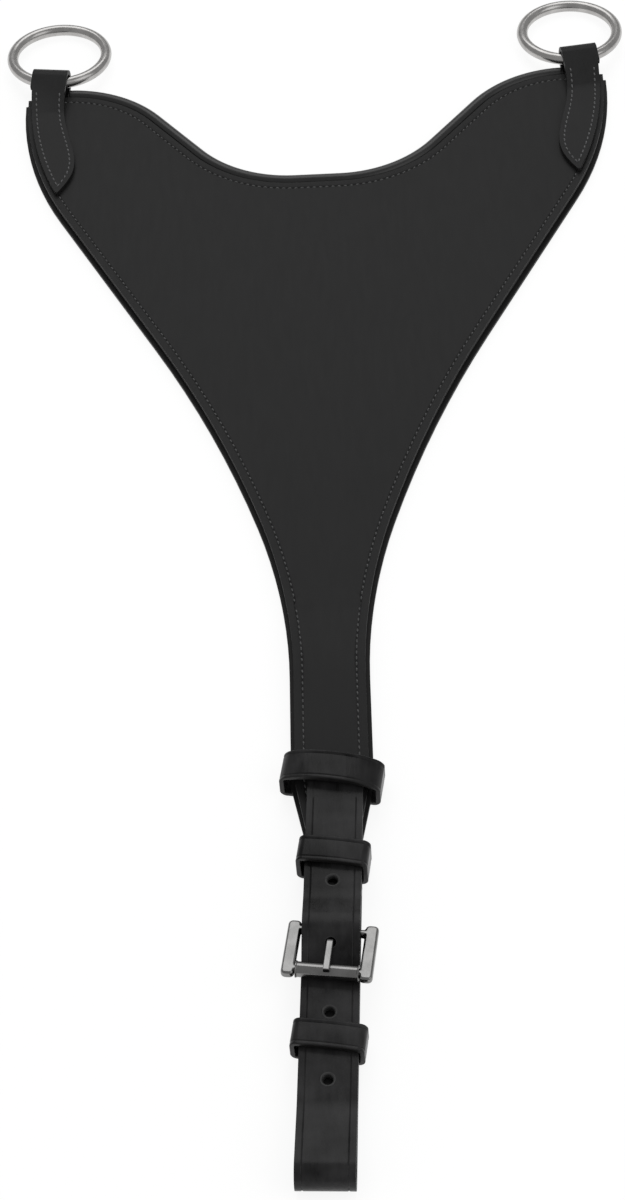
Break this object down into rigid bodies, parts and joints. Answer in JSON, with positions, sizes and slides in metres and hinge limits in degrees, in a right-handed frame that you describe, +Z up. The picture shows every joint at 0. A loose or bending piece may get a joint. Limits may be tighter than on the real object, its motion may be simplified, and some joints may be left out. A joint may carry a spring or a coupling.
{
  "type": "bib martingale",
  "caption": "Black leather bib martingale with rein rings and a buckled girth loop, for keeping a horse's reins and girth linked.",
  "frame": {"origin": "on the flat back of the bib, on its centre line, between the girth loop and the rings", "axes": "+Z up out of the front of the bib, +Y from the girth loop towards the rings, +X to the right as the front is seen"},
  "size_m": [0.2826, 0.5889, 0.0171],
  "materials": {
    "front_leather": "satin",
    "lining_leather": "satin",
    "strap_leather": "satin",
    "padding": "matte",
    "cord": "matte",
    "ring_metal": "satin",
    "buckle_metal": "satin"
  },
  "bodies": {
    "bib": {"bib_front_panel": "front_leather", "bib_core": "padding", "bib_lining": "lining_leather", "top_edge_roll": "front_leather", "top_roll_cord": "cord", "left_ring_tab": "strap_leather", "right_ring_tab": "strap_leather", "girth_strap": "strap_leather", "buckle_chape": "strap_leather"},
    "left_ring": {"left_ring": "ring_metal"},
    "right_ring": {"right_ring": "ring_metal"},
    "buckle_frame": {"buckle_frame": "buckle_metal"},
    "buckle_roller": {"buckle_roller": "buckle_metal"},
    "buckle_tongue": {"buckle_tongue": "buckle_metal"},
    "upper_keeper": {"upper_keeper": "strap_leather"},
    "middle_keeper": {"middle_keeper": "strap_leather"},
    "lower_keeper": {"lower_keeper": "strap_leather"}
  },
  "joints": [
    {"name": "left_ring_swing", "type": "hinge", "parent": "bib", "child": "left_ring", "pos_m": [-0.1198, 0.25332, 0.007], "axis": [0.9925, -0.1219, 0], "range_deg": [-60, 160]},
    {"name": "right_ring_swing", "type": "hinge", "parent": "bib", "child": "right_ring", "pos_m": [0.1198, 0.25332, 0.007], "axis": [0.9925, 0.1219, 0], "range_deg": [-60, 160]},
    {"name": "buckle_frame_lift", "type": "hinge", "parent": "bib", "child": "buckle_frame", "pos_m": [-0.00096, -0.19699, 0.00818], "axis": [-0.9914, 0.1305, 0], "range_deg": [0, 2.5]},
    {"name": "buckle_tongue_lift", "type": "hinge", "parent": "buckle_frame", "child": "buckle_tongue", "pos_m": [-0.00096, -0.19699, 0.00818], "axis": [-0.9914, 0.1305, 0], "range_deg": [0, 2]},
    {"name": "buckle_roller_spin", "type": "hinge", "parent": "buckle_frame", "child": "buckle_roller", "pos_m": [-0.00324, -0.21434, 0.0118], "axis": [-0.9914, 0.1305, 0], "continuous": true},
    {"name": "upper_keeper_slide", "type": "slide", "parent": "bib", "child": "upper_keeper", "axis": [0, 1, 0], "range_m": [-0.006, 0.03]},
    {"name": "middle_keeper_slide", "type": "slide", "parent": "bib", "child": "middle_keeper", "axis": [0.0436, 0.999, 0], "range_m": [-0.007, 0.002]},
    {"name": "lower_keeper_slide", "type": "slide", "parent": "bib", "child": "lower_keeper", "axis": [0.0436, 0.999, 0], "range_m": [-0.014, 0.011]}
  ]
}
